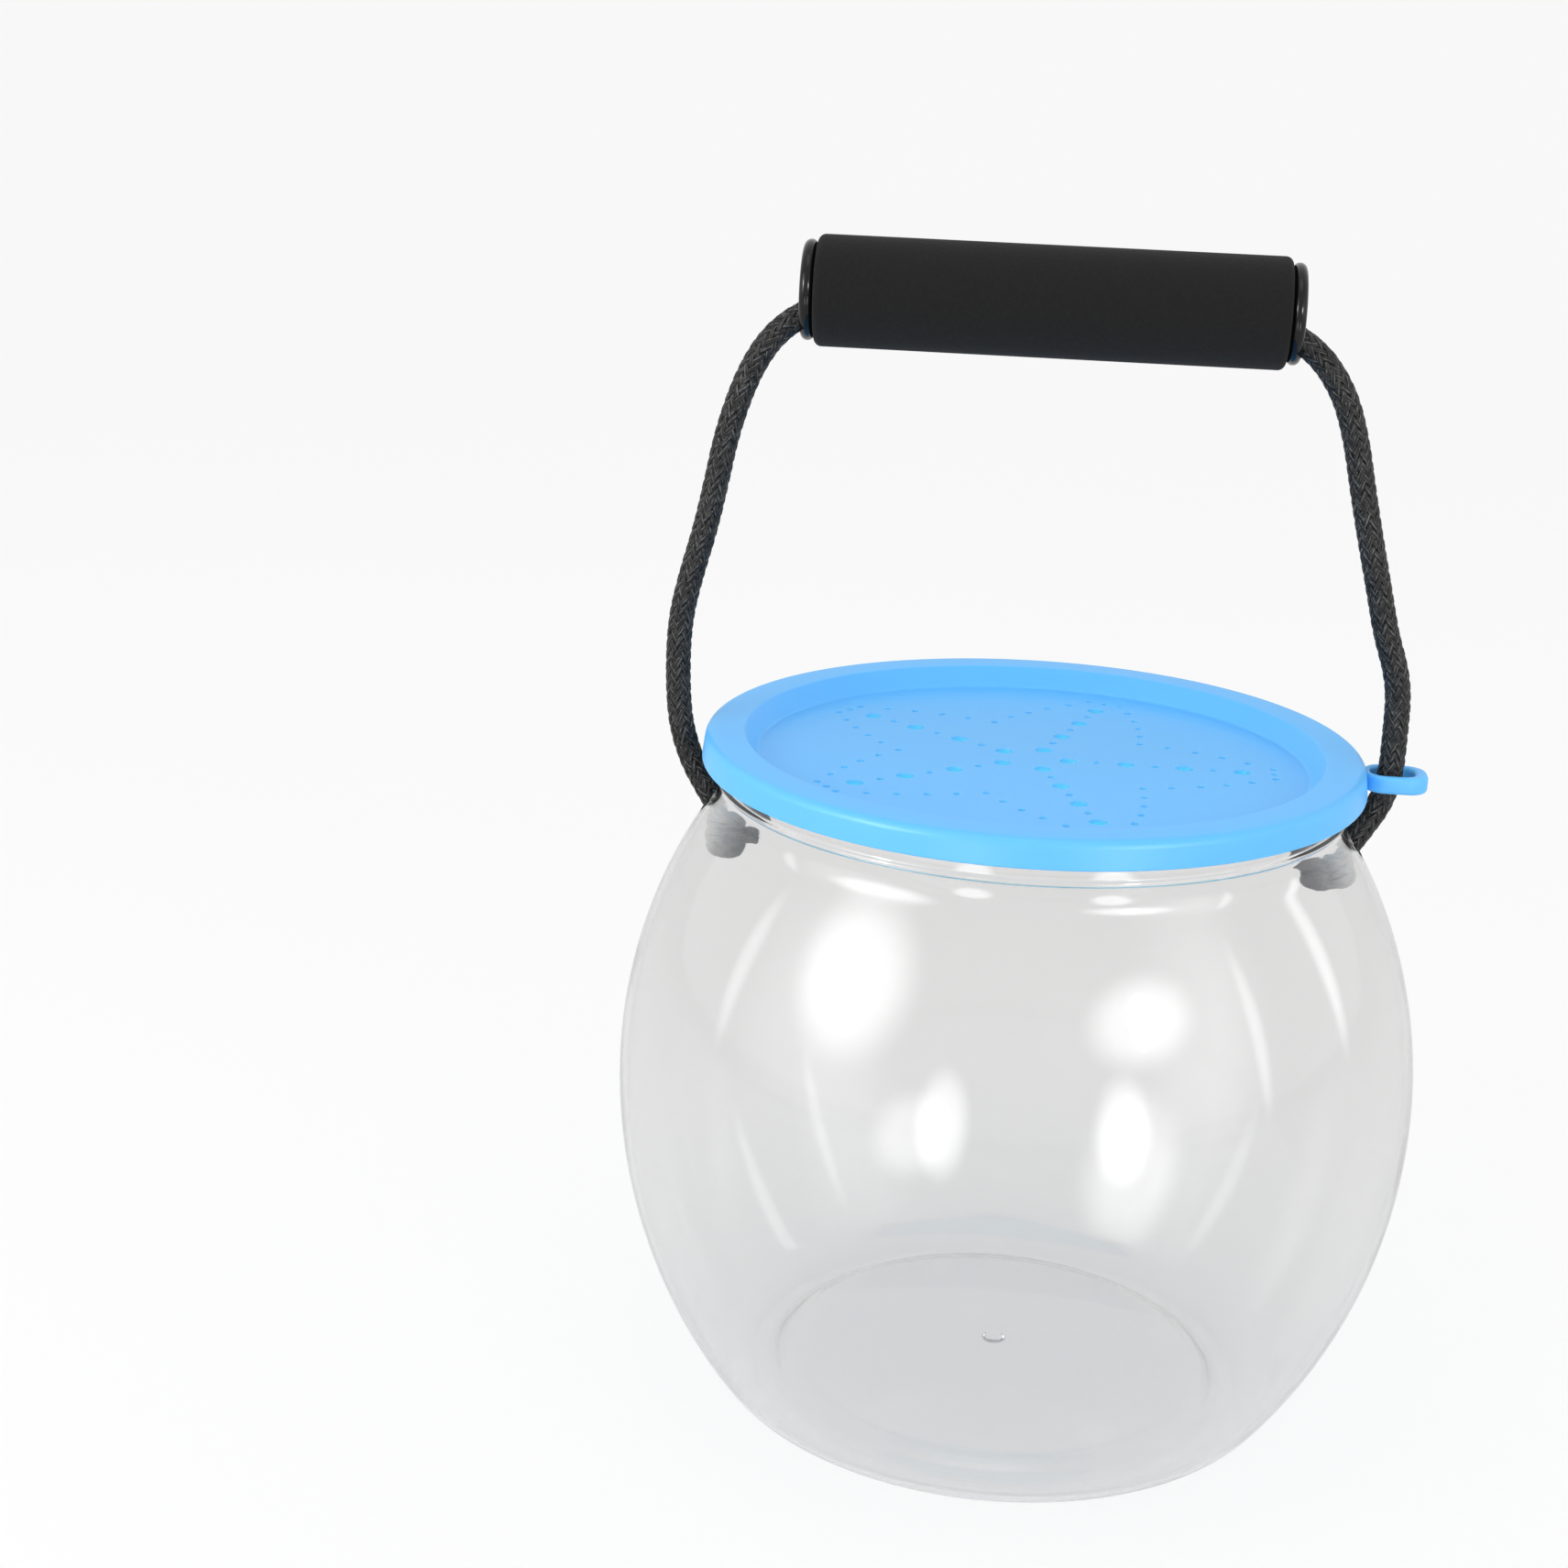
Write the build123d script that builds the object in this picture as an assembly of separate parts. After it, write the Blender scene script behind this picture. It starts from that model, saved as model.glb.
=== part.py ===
from build123d import *
import math
import os

# A beach bucket: a clear globe-shaped bowl with a push-on lid, and a rope handle.
# The lid is a blue moulding with a raised rim, a recessed floor pierced in a starfish
# pattern, and a side tab that keeps it threaded on the rope. The black braided rope is
# knotted inside the bowl's shoulder on each side and runs through a foam grip.
# Origin: centre of the foot ring, on the ground. +Z up, the tab and the rope legs lie
# along X. Millimetres.

os.makedirs("parts", exist_ok=True)

# Bowl
bulge_radius = 86.0
bulge_height = 72.5
foot_inner_radius = 49.9
foot_width = 4.5
foot_corner = 12.0
push_up_ramp = 3.9
push_up_edge_height = 3.0
push_up_dome_rise = 3.2
gate_nub_radius = 2.5
gate_nub_height = 0.6
bowl_wall = 1.6
neck_radius = 66.4
neck_height = 12.4
neck_foot_rounding = 4.0
neck_top = 146.2
mouth_bevel = 0.4
bead_size = 0.5
bead_below_mouth = 2.0
stop_bead_below_lid = 3.8
rope_hole_clearance = 0.8

# Lid
lid_gap = 0.3
lid_side_gap = 1.4
lid_wall = 1.8
lid_depth = 5.9
skirt_flare = 0.5
rim_rounding = 2.0
rim_flat_width = 6.4
recess_depth = 4.4
recess_draft = 2.8
recess_edge_rounding = 0.8
skirt_bead_size = 0.5

# Lid tab
tab_length = 12.4
tab_thickness = 3.7
tab_below_rim = 2.0
tab_bar = 1.9
tab_end_bar = 2.6
tab_corner = 4.2
tab_edge_rounding = 0.8
tab_slot_clearance = 0.45
tab_root_gap = 0.5

# Vent holes in the lid floor, on five arms
arm_count = 5
vent_diameter = 3.5
dot_diameter = 1.5
vent_first_radius = 7.6
vents_per_arm = 4
last_vent_to_tip = 6.8
star_tip_to_wall = 7.4
star_tip_half_width = 3.6
star_notch_radius = 28.5
star_side_bulge = 1.6
dots_per_side = 5

# Rope
rope_diameter = 6.0
fold_height = 162.5
fold_gap = 0.3

# Grip
grip_height = 240.0
grip_left = -50.0
grip_right = 45.2
foam_wall = 2.9
foam_rounding = 2.4
core_radius = 8.3
core_wall = 1.0
fit_gap = 0.1
cap_flange = 2.8
cap_below_foam = 1.1
cap_lip = 0.95
cap_flange_rounding = 0.7
cap_groove_place = 1.6
cap_groove_size = 0.35
cap_flare_length = 7.2
cap_shoulder_length = 6.0
cap_spigot_length = 6.0
cap_spigot_wall = 0.7
rope_lift_in_bore = 0.5

# Knots
knot_ring_radius = 2.4
knot_strand_radius = 2.2
knot_neck = 0.4

# Worked-out places shared by more than one piece
foot_outer_radius = foot_inner_radius + foot_width
push_up_edge_radius = foot_inner_radius - push_up_ramp
push_up_centre_height = push_up_edge_height + push_up_dome_rise
lid_top = neck_top + lid_gap + lid_wall
lid_bottom = lid_top - lid_depth
rim_radius = neck_radius + lid_side_gap + lid_wall
rim_flat_inner_radius = rim_radius - rim_rounding - rim_flat_width
skirt_radius = rim_radius + skirt_flare
recess_floor = lid_top - recess_depth
recess_floor_radius = rim_flat_inner_radius - recess_draft
tab_reach = skirt_radius + tab_length
star_tip_radius = recess_floor_radius - star_tip_to_wall
last_vent_radius = star_tip_radius - last_vent_to_tip
vent_pitch = (last_vent_radius - vent_first_radius) / (vents_per_arm - 1)
rope_radius = rope_diameter / 2
rope_hole_diameter = rope_diameter + 2 * rope_hole_clearance
foam_radius = core_radius + fit_gap + foam_wall
cap_flange_radius = foam_radius - cap_below_foam
cap_mouth_radius = cap_flange_radius - cap_lip
spigot_radius = core_radius - core_wall - fit_gap
cap_bore_radius = spigot_radius - cap_spigot_wall
rope_in_grip_height = grip_height - cap_bore_radius + rope_radius + rope_lift_in_bore
lower_rope_top = fold_height - rope_radius - fold_gap

# Rope routes, chosen by hand: (x, z) in the plane y = 0.
# A lower route runs from the fold down through the shoulder hole to the knot.
lower_left_route = [
    (-76.4, lower_rope_top),
    (-76.1, 152.9),
    (-75.2, 145.9),
    (-72.9, 138.9),
    (-69.4, 132.7),
    (-67.1, 129.2),
]
lower_right_route = [
    (74.8, lower_rope_top),
    (74.9, 152.9),
    (74.9, 146.4),
    (73.6, 139.6),
    (70.2, 133.5),
    (67.3, 128.8),
]
# An upper route runs from the fold up to the grip and into its end cap.
upper_left_route = [
    (-76.4, fold_height),
    (-75.9, 171.0),
    (-73.9, 180.0),
    (-71.4, 189.2),
    (-69.4, 199.0),
    (-67.6, 209.0),
    (-64.9, 218.2),
    (-62.2, 224.6),
    (-59.0, 229.7),
    (-55.2, 233.3),
    (-51.1, 235.8),
    (-46.6, rope_in_grip_height),
    (-42.2, rope_in_grip_height),
]
upper_right_route = [
    (74.8, fold_height),
    (73.5, 168.6),
    (70.9, 175.5),
    (68.6, 184.6),
    (66.1, 193.9),
    (63.3, 205.0),
    (61.2, 214.4),
    (58.3, 223.3),
    (54.2, 229.7),
    (50.4, 233.3),
    (46.3, 235.8),
    (41.8, rope_in_grip_height),
    (37.4, rope_in_grip_height),
]


def in_section(x, z):
    """A point of the plane y = 0."""
    return (x, 0, z)


def flank_arc_radius():
    """The radius of the arc that is upright at the bulge and runs into the foot corner."""
    out = bulge_radius - foot_outer_radius
    up = bulge_height - foot_corner
    return (out**2 + up**2 - foot_corner**2) / (2 * (out - foot_corner))


def shoulder_arc_radius():
    """The radius of the arc that is upright at the bulge and ends at the neck's foot."""
    out = bulge_radius - neck_radius
    up = neck_top - neck_height - bulge_height
    return (out**2 + up**2) / (2 * out)


def bowl_form(inset, mouth):
    """The turned outside of the bowl, drawn in by the inset on every wall.

    The half section goes up the pushed-up base, over the foot, round the foot corner,
    up the flank arc and the shoulder arc, round the neck's hollow foot and up the
    straight neck. The mouth's points take it from the neck to the axis.
    """
    flank_full = flank_arc_radius()
    flank_centre = bulge_radius - flank_full
    shoulder_full = shoulder_arc_radius()
    shoulder_centre = bulge_radius - shoulder_full
    flank = flank_full - inset
    shoulder = shoulder_full - inset
    neck = neck_radius - inset
    lean = math.atan2(foot_corner - bulge_height, foot_outer_radius - flank_centre)
    corner_end = (
        flank_centre + flank * math.cos(lean),
        bulge_height + flank * math.sin(lean),
    )
    bulge = (bulge_radius - inset, bulge_height)
    foot_out = neck_radius + neck_foot_rounding - shoulder_centre
    foot_reach = shoulder_full + neck_foot_rounding
    foot_rise = math.sqrt(foot_reach**2 - foot_out**2)
    shoulder_end = (
        shoulder_centre + foot_out * shoulder / foot_reach,
        bulge_height + foot_rise * shoulder / foot_reach,
    )
    neck_foot = (neck, bulge_height + foot_rise)
    with BuildPart() as form:
        with BuildSketch(Plane.XZ):
            with BuildLine():
                dome = TangentArc(
                    (0, push_up_centre_height + inset),
                    (push_up_edge_radius, push_up_edge_height + inset),
                    tangent=(1, 0),
                )
                Line(dome @ 1, (foot_inner_radius, inset))
                foot = Line((foot_inner_radius, inset), (foot_outer_radius, inset))
                TangentArc(foot @ 1, corner_end, tangent=(1, 0))
                TangentArc(corner_end, bulge, tangent=(-math.sin(lean), math.cos(lean)))
                TangentArc(bulge, shoulder_end, tangent=(0, 1))
                TangentArc(shoulder_end, neck_foot, tangent=(-foot_rise, foot_out))
                Polyline(neck_foot, *mouth, (0, push_up_centre_height + inset))
            make_face()
        revolve(axis=Axis.Z)
    return form.part


def rope_direction(route, first, second):
    """The unit direction from one point of a route to another, in space."""
    start = Vector(in_section(*route[first]))
    end = Vector(in_section(*route[second]))
    return (end - start).normalized()


def shoulder_hole(route):
    """The hole in the shoulder for one rope, drilled along the rope's last stretch."""
    inward = rope_direction(route, 4, 5)
    middle = (Vector(in_section(*route[4])) + Vector(in_section(*route[5]))) / 2
    drill = Plane(origin=middle - inward * 8, z_dir=inward)
    return extrude(drill * Circle(rope_hole_diameter / 2), 16)


def outer_mouth():
    """Section points up the neck: a stop bead, the lid's bead and a bevelled lip."""
    stop = lid_bottom - stop_bead_below_lid
    bead = neck_top - bead_below_mouth
    return [
        (neck_radius, stop - 2 * bead_size),
        (neck_radius + bead_size, stop),
        (neck_radius, stop + 2 * bead_size),
        (neck_radius, bead - 2 * bead_size),
        (neck_radius + bead_size, bead),
        (neck_radius, bead + 2 * bead_size),
        (neck_radius, neck_top - mouth_bevel),
        (neck_radius - mouth_bevel, neck_top),
        (0, neck_top),
    ]


def inner_mouth():
    """Section points of the hollow's mouth, which opens with a bevel and runs on above."""
    inside = neck_radius - bowl_wall
    return [
        (inside, neck_top - mouth_bevel),
        (inside + mouth_bevel, neck_top),
        (inside + mouth_bevel, neck_top + 1),
        (0, neck_top + 1),
    ]


def make_bowl():
    """The clear shell: outside less inside, with a gate nub and two rope holes."""
    shell = bowl_form(0, outer_mouth()) - bowl_form(bowl_wall, inner_mouth())
    nub = Cylinder(gate_nub_radius, 2 * gate_nub_height)
    shell += Pos(0, 0, push_up_centre_height) * nub
    shell -= shoulder_hole(lower_left_route)
    shell -= shoulder_hole(lower_right_route)
    return shell


def star_outline_points():
    """Dots along the starfish: each arm side is a line with a slight outward bow."""
    points = []
    half_arm = math.pi / arm_count
    tip = Vector(star_tip_radius, star_tip_half_width)
    notch = Vector(
        star_notch_radius * math.cos(half_arm),
        star_notch_radius * math.sin(half_arm),
    )
    along = notch - tip
    outward = Vector(-along.Y, along.X).normalized() * -1
    for arm in range(arm_count):
        turn = 2 * half_arm * arm
        points.append(Vector(star_tip_radius, 0).rotate(Axis.Z, math.degrees(turn)))
        for side in (1, -1):
            last = dots_per_side + 1 if side == 1 else dots_per_side
            for step in range(last):
                share = step / dots_per_side
                bow = outward * (star_side_bulge * math.sin(math.pi * share))
                dot = tip + along * share + bow
                dot = Vector(dot.X, dot.Y * side)
                points.append(dot.rotate(Axis.Z, math.degrees(turn)))
    return points


def vent_sketch():
    """All holes in the lid floor: vents and dots along each arm, and the dotted outline."""
    vents = []
    dots = star_outline_points()
    for arm in range(arm_count):
        turn = 360 / arm_count * arm
        for place in range(vents_per_arm):
            reach = vent_first_radius + vent_pitch * place
            vents.append(Vector(reach, 0).rotate(Axis.Z, turn))
            if place + 1 < vents_per_arm:
                dots.append(Vector(reach + vent_pitch / 2, 0).rotate(Axis.Z, turn))
    holes = Sketch()
    holes += [Pos(v.X, v.Y) * Circle(vent_diameter / 2) for v in vents]
    holes += [Pos(d.X, d.Y) * Circle(dot_diameter / 2) for d in dots]
    return holes


def lid_shell():
    """The turned lid: recessed floor, recess wall, flat rim, rounded edge and skirt.

    A bead of two slopes runs round the skirt's inside and catches the neck's bead.
    """
    under_floor = recess_floor - lid_wall
    under_rim = lid_top - lid_wall
    skirt_inner = skirt_radius - lid_wall
    bead = lid_bottom + 2 * skirt_bead_size
    rim_turn = (rim_radius, lid_top - rim_rounding)
    with BuildPart() as shell:
        with BuildSketch(Plane.XZ):
            with BuildLine():
                Polyline(
                    (0, under_floor),
                    (0, recess_floor),
                    (recess_floor_radius, recess_floor),
                    (rim_flat_inner_radius, lid_top),
                    (rim_radius - rim_rounding, lid_top),
                )
                TangentArc((rim_radius - rim_rounding, lid_top), rim_turn, tangent=(1, 0))
                Polyline(
                    rim_turn,
                    (skirt_radius, lid_bottom),
                    (skirt_inner, lid_bottom),
                    (skirt_inner - skirt_bead_size, bead),
                    (skirt_inner, bead + 2 * skirt_bead_size),
                    (skirt_inner - skirt_flare, under_rim),
                    (rim_flat_inner_radius + lid_wall, under_rim),
                    (recess_floor_radius + lid_wall, under_floor),
                    (0, under_floor),
                )
            make_face()
        revolve(axis=Axis.Z)
        rings = edges().filter_by(GeomType.CIRCLE)
        recess_top = rings.filter_by_position(Axis.Z, lid_top - 0.01, lid_top + 0.01)
        fillet(recess_top.sort_by(SortBy.RADIUS)[0], recess_edge_rounding)
        rings = edges().filter_by(GeomType.CIRCLE)
        floor_ring = rings.filter_by_position(Axis.Z, recess_floor - 0.01, recess_floor + 0.01)
        fillet(floor_ring.sort_by(SortBy.RADIUS)[0], recess_edge_rounding)
    return shell.part


def make_tab():
    """The loop on the lid's side, with a slot for the rope."""
    slot_width = rope_diameter + 2 * tab_slot_clearance
    outer_width = slot_width + 2 * tab_bar
    root = skirt_radius - lid_wall / 2
    slot_start = skirt_radius + tab_root_gap
    slot_end = tab_reach - tab_end_bar
    tab_top = lid_top - tab_below_rim
    slot_middle = (slot_start + slot_end) / 2
    middle = (root + tab_reach) / 2
    plate = Pos(middle, 0) * Rectangle(tab_reach - root, outer_width)
    ends = plate.vertices().group_by(Axis.X)[-1]
    plate = fillet(ends, tab_corner)
    slot_size = slot_end - slot_start
    slot_corner = min(slot_size, slot_width) * 0.42
    slot = Pos(slot_middle, 0) * RectangleRounded(slot_size, slot_width, slot_corner)
    tab = Pos(0, 0, tab_top - tab_thickness) * extrude(plate - slot, tab_thickness)
    flats = tab.faces().filter_by(Axis.Z)
    edges_to_round = [e for f in flats for e in f.edges() if e.center().X > slot_start]
    return fillet(edges_to_round, tab_edge_rounding)


def make_lid():
    """The blue lid, one moulding: shell, tab and vent holes."""
    lid = lid_shell() + make_tab()
    holes = extrude(vent_sketch(), 2 * lid_wall)
    return lid - Pos(0, 0, recess_floor - 1.5 * lid_wall) * holes


def corner_radii(route):
    """Each inner corner's radius: 0.45 of its shorter run over the tangent of half its turn."""
    points = [Vector(in_section(*p)) for p in route]
    radii = []
    for before, here, after in zip(points, points[1:], points[2:]):
        run_in = here - before
        run_out = after - here
        half_turn = math.radians(run_in.get_angle(run_out)) / 2
        shorter = min(run_in.length, run_out.length)
        radii.append(0.45 * shorter / math.tan(half_turn))
    return radii


def make_rope(name, route):
    """A round rope along straight runs joined by tangent arcs."""
    radii = corner_radii(route)
    path = FilletPolyline(*[in_section(*p) for p in route], radius=radii)
    section = Plane(origin=path @ 0, z_dir=path % 0) * Circle(rope_radius)
    tube = sweep(section, path=path)
    length = path.length
    expected = math.pi * rope_radius**2 * length
    print(
        f"{name}: length {length:.1f}, least radius {min(radii):.1f}, "
        f"volume {tube.volume:.0f} of {expected:.0f}"
    )
    return tube


def make_upper_rope(name, route):
    """A handle leg, with the round end that turns on the fold line."""
    x, z = route[0]
    return make_rope(name, route) + Pos(x, 0, z) * Sphere(rope_radius)


def make_rope_in_grip():
    """The rope's middle stretch, lying low in the grip's bore."""
    left = upper_left_route[-1][0]
    right = upper_right_route[-1][0]
    section = Plane(origin=(left, 0, rope_in_grip_height), z_dir=(1, 0, 0))
    return extrude(section * Circle(rope_radius), right - left)


def make_knot(route, spread, tail_run):
    """A stopper knot: a short neck, two crossed turns and a tail stub.

    The spread says how far the second turn lies beside the first one, and the tail run
    where the tail ends: each is a step towards the bowl's axis and a step up.
    """
    inward = rope_direction(route, 4, 5)
    start = Vector(in_section(*route[5]))
    to_axis = -1 if start.X > 0 else 1
    reach = knot_neck + knot_ring_radius + knot_strand_radius
    neck = extrude(Plane(origin=start, z_dir=inward) * Circle(rope_radius), reach)
    first = start + inward * reach
    second = first + Vector(spread[0] * to_axis, 0, spread[1])
    knot = neck
    for centre, lean in ((first, 35), (second, -35)):
        turn = Torus(knot_ring_radius, knot_strand_radius)
        hub = Sphere(knot_ring_radius)
        knot += Pos(centre) * Rot(0, lean * to_axis, 0) * turn + Pos(centre) * hub
    tail_way = Vector(to_axis * tail_run[0], 0, tail_run[1])
    tail_plane = Plane(origin=first, z_dir=tail_way)
    tail = extrude(tail_plane * Circle(knot_strand_radius), tail_way.length)
    return knot + tail + Pos(first + tail_way) * Sphere(knot_strand_radius)


def tube_along_x(start, end, outer, inner):
    """A plain tube on the grip's axis."""
    place = Plane(origin=(start, 0, grip_height), z_dir=(1, 0, 0))
    return extrude(place * (Circle(outer) - Circle(inner)), end - start)


def make_foam():
    """The soft grip sleeve, with rounded ends."""
    foam = tube_along_x(grip_left, grip_right, foam_radius, core_radius + fit_gap)
    ends = [
        e
        for e in foam.edges().filter_by(GeomType.CIRCLE)
        if abs(e.radius - foam_radius) < 0.01
    ]
    return fillet(ends, min(foam_rounding, 0.85 * foam_wall))


def make_core():
    """The stiff tube under the foam, from one end cap's shoulder to the other's."""
    start = grip_left + cap_shoulder_length + fit_gap
    end = grip_right - cap_shoulder_length - fit_gap
    return tube_along_x(start, end, core_radius, core_radius - core_wall)


def make_cap(flange_back, outward):
    """An end cap: flange with a trumpet mouth, shoulder under the foam, spigot in the core.

    Its half section lies above the grip's axis. Depth is counted inwards from the outer
    face. A groove round the flange parts its outer lip from a second ridge.
    """
    shoulder_end = cap_flange + cap_shoulder_length
    depth_end = shoulder_end + cap_spigot_length
    outer_face = flange_back + outward * cap_flange

    def at(depth, radius):
        return (outer_face - outward * depth, 0, grip_height + radius)

    flare = TangentArc(
        at(cap_flare_length, cap_bore_radius),
        at(0, cap_mouth_radius),
        tangent=(outward, 0, 0),
    )
    outside = Polyline(
        at(0, cap_mouth_radius),
        at(0, cap_flange_radius),
        at(cap_groove_place - cap_groove_size, cap_flange_radius),
        at(cap_groove_place, cap_flange_radius - cap_groove_size),
        at(cap_groove_place + cap_groove_size, cap_flange_radius),
        at(cap_flange, cap_flange_radius),
        at(cap_flange, core_radius),
        at(shoulder_end, core_radius),
        at(shoulder_end, spigot_radius),
        at(depth_end, spigot_radius),
        at(depth_end, cap_bore_radius),
        at(cap_flare_length, cap_bore_radius),
    )
    axis = Axis((0, 0, grip_height), (1, 0, 0))
    cap = revolve(make_face(flare + outside), axis=axis)
    lip = cap.edges().filter_by(GeomType.CIRCLE).filter_by_position(
        Axis.X, outer_face - 0.01, outer_face + 0.01
    )
    return fillet(lip.sort_by(SortBy.RADIUS)[-1], cap_flange_rounding)


pieces = {
    "bowl": make_bowl(),
    "lid": make_lid(),
    "rope_lower_left": make_rope("rope_lower_left", lower_left_route),
    "rope_lower_right": make_rope("rope_lower_right", lower_right_route),
    "rope_upper_left": make_upper_rope("rope_upper_left", upper_left_route),
    "rope_upper_right": make_upper_rope("rope_upper_right", upper_right_route),
    "rope_in_grip": make_rope_in_grip(),
    "knot_left": make_knot(lower_left_route, (-0.8, -3.1), (5.1, -1.6)),
    "knot_right": make_knot(lower_right_route, (2.8, -2.3), (6.6, 2.1)),
    "grip_foam": make_foam(),
    "grip_core": make_core(),
    "end_cap_left": make_cap(grip_left, -1),
    "end_cap_right": make_cap(grip_right, 1),
}

for name, solid in pieces.items():
    export_step(solid, f"parts/{name}.step")
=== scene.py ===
"""A clear beach bucket with a blue pierced lid and a rope handle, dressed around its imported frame.

All places are in the frame: metres, +Z up, the bowl's axis on the origin. The shapes below are
written in millimetres and turned to metres where a mesh is made.
"""

import math

import bmesh
import bpy
import numpy as np
from mathutils import Matrix, Vector, geometry


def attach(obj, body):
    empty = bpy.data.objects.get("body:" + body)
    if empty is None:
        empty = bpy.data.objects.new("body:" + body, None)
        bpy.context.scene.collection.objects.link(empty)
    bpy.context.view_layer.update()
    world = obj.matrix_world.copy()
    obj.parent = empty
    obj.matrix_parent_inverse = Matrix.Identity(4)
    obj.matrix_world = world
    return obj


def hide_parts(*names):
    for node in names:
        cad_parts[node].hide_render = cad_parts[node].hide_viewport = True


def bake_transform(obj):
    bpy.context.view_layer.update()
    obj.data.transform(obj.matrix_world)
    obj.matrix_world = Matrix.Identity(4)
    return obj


bl_info = {
    "name": "Beach Bucket",
    "version": (1, 0, 0),
    "blender": (4, 5, 0),
    "location": "3D View > Sidebar > Bucket",
    "description": "Builds a clear bucket with a pierced lid, a rope handle and a foam grip",
    "category": "Add Mesh",
}

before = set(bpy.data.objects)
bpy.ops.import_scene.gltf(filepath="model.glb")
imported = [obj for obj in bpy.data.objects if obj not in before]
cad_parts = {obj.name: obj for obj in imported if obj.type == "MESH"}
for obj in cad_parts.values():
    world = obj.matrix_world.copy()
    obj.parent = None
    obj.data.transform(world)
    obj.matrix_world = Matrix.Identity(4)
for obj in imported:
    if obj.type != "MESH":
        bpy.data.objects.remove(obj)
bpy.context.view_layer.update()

MM = 0.001

# Bowl, as in the part's source
BULGE_RADIUS = 86.0
BULGE_HEIGHT = 72.5
FOOT_CORNER = 12.0
FOOT_OUTER_RADIUS = 54.4
FOOT_INNER_RADIUS = 49.9
PUSH_UP_EDGE = (46.0, 3.0)
PUSH_UP_CENTRE = 6.2
NECK_RADIUS = 66.4
NECK_HEIGHT = 12.4
NECK_TOP = 146.2
MOUTH_BEVEL = 0.4
BEAD_SIZE = 0.5
BEAD_HEIGHTS = (138.6, 144.2)
NUB_HEIGHT = 0.6

# Bowl, softened here. The hollow at the neck's foot is tighter in the part's source
NECK_FOOT_ROUNDING = 8.0
BASE_ROUNDING = 5.0
DOME_MARGIN = 1.8
NUB_RADII = (1.9, 2.6)
NUB_MARGIN = 0.4
DRILL_REACH = 8.0
DRILL_SIDES = 48

# Lid, as in the part's source
LID_TOP = 148.3
LID_BOTTOM = 142.4
LID_WALL = 1.8
RIM_RADIUS = 69.6
SKIRT_RADIUS = 70.1
RIM_ROUNDING = 2.0
RIM_FLAT_INNER = 61.2
FLOOR_HEIGHT = 143.9
FLOOR_RADIUS = 58.4

# Lid, chosen here. The walls of its holes are painted paler between two depths under the
# floor's top: a painted glow of light through the thin plastic
HOLED_RADIUS = 56.0
FLOOR_ROUNDING = 0.9
RECESS_ROUNDING = 0.8
SKIRT_ROUNDING = 0.35
LID_BEAD = 0.5
BEAD_FOOT = 0.2
SKIRT_DRAFT = 0.4
HOLE_EDGE = 0.22
PAINTED_GLOW_DEPTHS = (0.1, 0.9)

# Star: half the distance between a tip's corners, the notches' radius and the sides' bow
STAR_TIP_HALF = 3.6
STAR_NOTCH = 28.5
STAR_BOW = 1.6

# Tab: its outline and slot, each from x to x with half a width and a corner radius
TAB_OUTLINE = (69.2, 82.5, 5.35, 4.2)
TAB_SLOT = (70.6, 79.9, 3.45, 2.9)
TAB_TOP = 146.3
TAB_THICKNESS = 3.7
TAB_EDGE = 0.8

# Grip: a cap's bore and spigot are points (radius, depth)
GRIP_HEIGHT = 240.0
FOAM_ENDS = (-50.0, 45.2)
FOAM_RADII = (8.4, 11.3)
FOAM_BORE_ROUNDING = 0.5
CAP_FLANGE = 2.8
CAP_RADIUS = 10.2
CAP_BORE = ((6.5, 7.2), (6.62, 5.6), (7.0, 4.0), (7.6, 2.5), (8.35, 1.15))
CAP_SPIGOT = ((8.3, CAP_FLANGE), (8.3, 8.8), (7.2, 8.8), (7.2, 14.8), (6.5, 14.8))

# The rope's route, knot to knot: (x, z) in the plane y = 0. The points of the part's source.
ROPE_ROUTE = (
    *((-67.1, 129.2), (-69.4, 132.7), (-72.9, 138.9), (-75.2, 145.9), (-76.1, 152.9)),
    *((-76.4, 162.5), (-75.9, 171.0), (-73.9, 180.0), (-71.4, 189.2), (-69.4, 199.0)),
    *((-67.6, 209.0), (-64.9, 218.2), (-62.2, 224.6), (-59.0, 229.7), (-55.2, 233.3)),
    *((-51.1, 235.8), (-46.6, 237.0), (-42.2, 237.0), (37.4, 237.0), (41.8, 237.0)),
    *((46.3, 235.8), (50.4, 233.3), (54.2, 229.7), (58.3, 223.3), (61.2, 214.4)),
    *((63.3, 205.0), (66.1, 193.9), (68.6, 184.6), (70.9, 175.5), (73.5, 168.6)),
    *((74.8, 162.5), (74.9, 152.9), (74.9, 146.4), (73.6, 139.6), (70.2, 133.5)),
    (67.3, 128.8),
)

# Rope and knots: strands, and in metres the steps along their lines and a knot strand's lay
ROPE_STRANDS = 24
ROPE_STEP = 0.0009
KNOT_STRANDS = 16
KNOT_STEP = 0.0006
KNOT_LAY = 0.018

# Braid: strands' half thickness and half width over diameter / strands, and shares of diameter
STRAND_THICK = 1.3
STRAND_WIDE = 2.64
STRAND_INSET = 0.045
STRAND_LIFT = 0.032
STRAND_SIDES = 6
CORE_SHARE = 0.93
CORE_SIDES = 12
UV_STAGGER = 0.37

# Camera: image size and focal length in pixels, place, and yaw, pitch and roll in radians
IMAGE_SIZE = 1711
FOCAL_LENGTH = 2963.9
SENSOR = 36.0
CAMERA_PLACE = (-0.0007, -0.5562, 0.3049)
CAMERA_TURN = (0.093194, -0.295994, 0.039699)

# Floor: half its width, its front and back edges, and its rise behind (radius, radians)
FLOOR_HALF = 3.0
FLOOR_DEPTH = (-2.6, 1.4)
FLOOR_RISE = (1.0, 1.4)

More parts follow.
